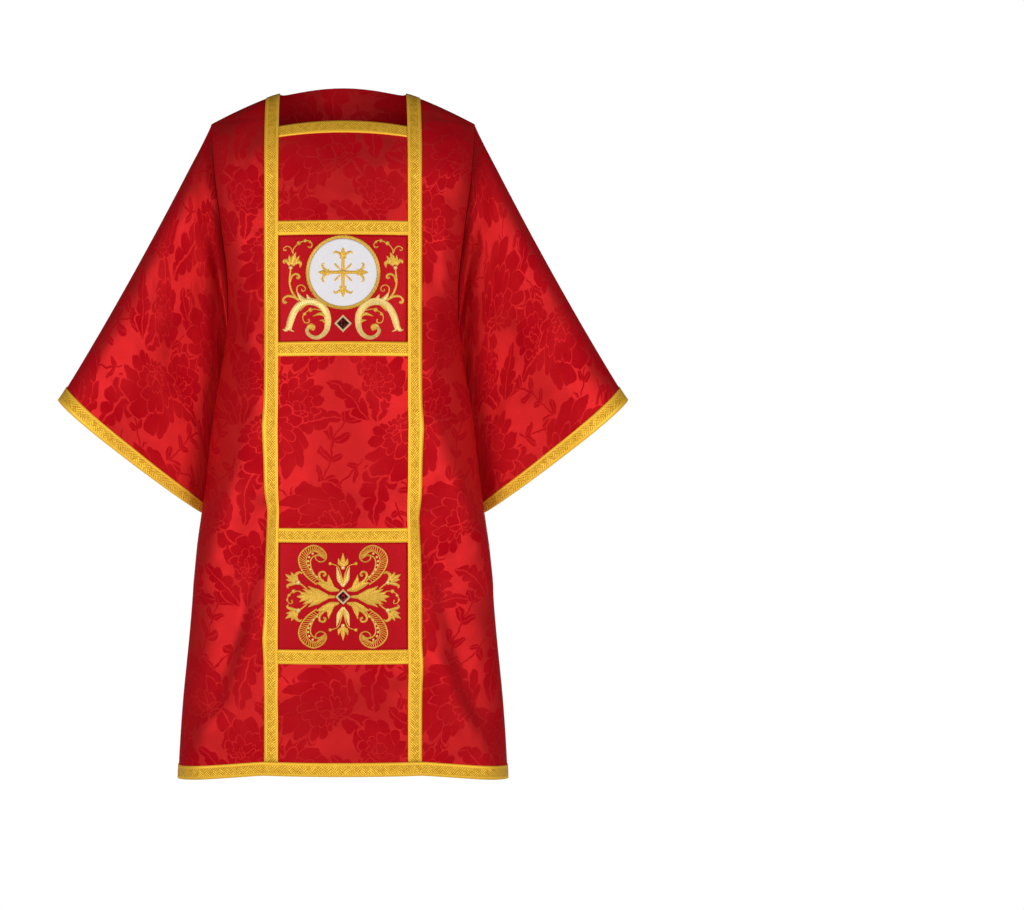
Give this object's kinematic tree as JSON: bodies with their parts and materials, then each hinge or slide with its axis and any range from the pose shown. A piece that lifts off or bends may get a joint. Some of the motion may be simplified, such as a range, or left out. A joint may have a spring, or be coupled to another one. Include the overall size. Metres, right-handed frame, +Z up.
{
  "type": "dalmatic",
  "caption": "Red floral damask liturgical tunic with wide sleeves, gold galloon bands and bars, embroidered panels with white medallions and set stones, filled out as when worn.",
  "frame": {"origin": "between the shoulders, on the middle plane, at the height of the shoulder seam beside the neck", "axes": "+Z up along the body, -Y out of the front, +X towards the wearer's left"},
  "size_m": [1.0164, 0.2495, 1.2396],
  "materials": {
    "damask": "red satin damask with a floral figure, soft sheen",
    "galloon": "gold woven galloon with a zigzag braid and fine picots",
    "satin": "plain red satin under gold embroidery",
    "white_satin": "white satin, closely stitched",
    "gold_cord": "gold metallic thread",
    "gilt": "polished gilt metal",
    "glass": "dark red cut glass, foiled behind"
  },
  "bodies": {
    "root": {"front_centre": "damask", "front_left": "damask", "front_right": "damask", "back_centre": "damask", "back_left": "damask", "back_right": "damask", "sleeve_left": "damask", "sleeve_right": "damask", "band_left": "galloon", "band_right": "galloon", "neck_bar": "galloon", "bar_front_1": "galloon", "bar_front_2": "galloon", "bar_front_3": "galloon", "bar_front_4": "galloon", "bar_back_1": "galloon", "bar_back_2": "galloon", "bar_back_3": "galloon", "bar_back_4": "galloon", "hem_front": "galloon", "hem_back": "galloon", "cuff_left": "galloon", "cuff_right": "galloon", "panel_front_upper": "satin", "panel_front_lower": "satin", "panel_back_upper": "satin", "panel_back_lower": "satin", "roundel_front": "white_satin", "roundel_back": "white_satin", "rim_front": "gold_cord", "rim_back": "gold_cord", "setting_front_upper": "gilt", "setting_front_lower": "gilt", "setting_back_upper": "gilt", "setting_back_lower": "gilt", "stone_front_upper": "glass", "stone_front_lower": "glass", "stone_back_upper": "glass", "stone_back_lower": "glass"}
  },
  "joints": []
}
